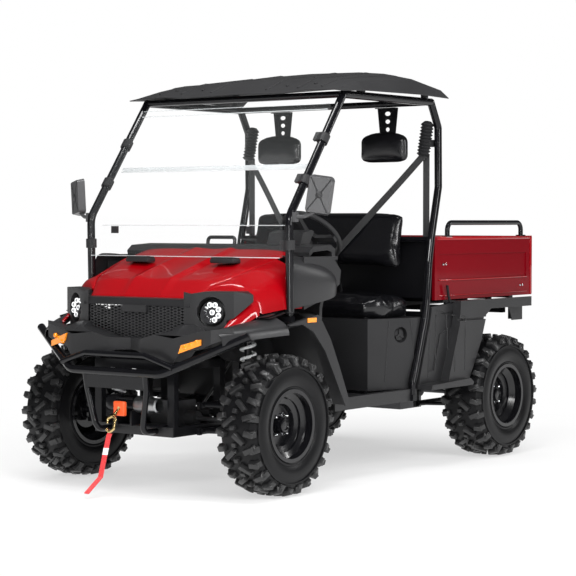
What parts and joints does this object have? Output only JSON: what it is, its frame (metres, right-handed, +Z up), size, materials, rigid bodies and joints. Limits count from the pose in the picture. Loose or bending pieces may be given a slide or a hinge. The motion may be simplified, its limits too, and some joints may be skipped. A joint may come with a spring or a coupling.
{
  "type": "side by side utility vehicle",
  "caption": "Two-seat side-by-side utility vehicle with steered front wheels, roofed roll cage, tipping cargo bed with drop tailgate and a front winch.",
  "frame": {"origin": "on the ground, under the middle of the overall length and width", "axes": "+Z up, -Y towards the front of the vehicle, +X towards its left side"},
  "size_m": [1.598, 2.914, 1.98],
  "materials": {
    "black_frame": "gloss",
    "black_wheel": "gloss",
    "tyre_rubber": "matte",
    "red_gloss": "gloss",
    "red_bed": "gloss",
    "bed_black": "satin",
    "black_plastic": "textured",
    "roof_plastic": "textured",
    "grille_black": "satin",
    "mirror_shell": "satin",
    "mirror_face": "mirror",
    "clamp_rubber": "matte",
    "screen_glass": "clear",
    "lamp_face": "clear",
    "amber": "clear",
    "tail_red": "clear",
    "vinyl": "satin",
    "webbing": "woven",
    "strap_red": "woven",
    "hook_gold": "satin",
    "winch_grey": "satin",
    "core_silver": "satin",
    "engine_grey": "satin",
    "damper": "satin",
    "coil_silver": "gloss",
    "lever_black": "gloss"
  },
  "bodies": {
    "frame": {"bed_latch": "lever_black", "belt_reels": "black_plastic", "belt_webbing": "webbing", "brush_guard": "black_frame", "chassis": "black_frame", "controls": "black_plastic", "dash": "black_plastic", "driveline": "engine_grey", "engine": "engine_grey", "exhaust": "black_frame", "fender_flares": "black_plastic", "floor": "black_plastic", "front_arms": "black_frame", "front_fascia": "black_plastic", "grille": "grille_black", "headlamps": "lamp_face", "headrests": "vinyl", "hood": "red_gloss", "mirror_glass": "mirror_face", "mirrors": "mirror_shell", "pull_strap": "strap_red", "radiator": "core_silver", "rear_arms": "black_frame", "rear_fenders": "black_plastic", "roll_cage": "black_frame", "roof": "roof_plastic", "screen_clamps": "clamp_rubber", "seat_back": "vinyl", "seat_base": "black_plastic", "seat_cushion": "vinyl", "shocks": "damper", "side_cowls": "red_gloss", "signal_lamps": "amber", "skid_plate": "black_plastic", "springs": "coil_silver", "steering_column": "black_plastic", "tail_lamps": "tail_red", "tow_hook": "hook_gold", "wheel_wells": "black_plastic", "winch": "winch_grey", "windshield": "screen_glass"},
    "knuckle_left": {"knuckle_left": "black_frame"},
    "knuckle_right": {"knuckle_right": "black_frame"},
    "steering_rack": {"tie_rods": "black_frame"},
    "hand_wheel": {"steering_wheel": "clamp_rubber"},
    "wheel_front_left": {"tyre_front_left": "tyre_rubber", "rim_front_left": "black_wheel"},
    "wheel_front_right": {"tyre_front_right": "tyre_rubber", "rim_front_right": "black_wheel"},
    "wheel_rear_left": {"tyre_rear_left": "tyre_rubber", "rim_rear_left": "black_wheel"},
    "wheel_rear_right": {"tyre_rear_right": "tyre_rubber", "rim_rear_right": "black_wheel"},
    "cargo_bed": {"bed_floor": "bed_black", "bed_sides": "red_bed", "bed_rails": "black_frame"},
    "tail_gate": {"tailgate": "red_bed"}
  },
  "joints": [
    {"name": "steer_left", "type": "hinge", "parent": "frame", "child": "knuckle_left", "pos_m": [0.52, -0.852, 0.318], "axis": [0, 0, 1], "range_deg": [-30, 30]},
    {"name": "steer_right", "type": "hinge", "parent": "frame", "child": "knuckle_right", "pos_m": [-0.52, -0.852, 0.318], "axis": [0, 0, 1], "range_deg": [-30, 30]},
    {"name": "hand_wheel_turn", "type": "hinge", "parent": "frame", "child": "hand_wheel", "pos_m": [0.33, -0.224, 1.16], "axis": [0, 0.7071, 0.7071], "range_deg": [-300, 300]},
    {"name": "rack_slide", "type": "slide", "parent": "frame", "child": "steering_rack", "axis": [1, 0, 0], "range_m": [-0.0455, 0.0455]},
    {"name": "spin_front_left", "type": "hinge", "parent": "knuckle_left", "child": "wheel_front_left", "pos_m": [0.595, -0.852, 0.318], "axis": [1, 0, 0], "continuous": true},
    {"name": "spin_front_right", "type": "hinge", "parent": "knuckle_right", "child": "wheel_front_right", "pos_m": [-0.595, -0.852, 0.318], "axis": [1, 0, 0], "continuous": true},
    {"name": "spin_rear_left", "type": "hinge", "parent": "frame", "child": "wheel_rear_left", "pos_m": [0.595, 1.008, 0.318], "axis": [1, 0, 0], "continuous": true},
    {"name": "spin_rear_right", "type": "hinge", "parent": "frame", "child": "wheel_rear_right", "pos_m": [-0.595, 1.008, 0.318], "axis": [1, 0, 0], "continuous": true},
    {"name": "bed_tilt", "type": "hinge", "parent": "frame", "child": "cargo_bed", "pos_m": [0, 1.313, 0.8], "axis": [-1, 0, 0], "range_deg": [0, 45]},
    {"name": "gate_drop", "type": "hinge", "parent": "cargo_bed", "child": "tail_gate", "pos_m": [0, 1.416, 0.866], "axis": [-1, 0, 0], "range_deg": [0, 90]}
  ],
  "couplings": [
    {"joint": "steer_right", "follows": "steer_left", "ratio": 1},
    {"joint": "hand_wheel_turn", "follows": "steer_left", "ratio": 10},
    {"joint": "rack_slide", "follows": "steer_left", "m_per_rad": -0.0859}
  ]
}
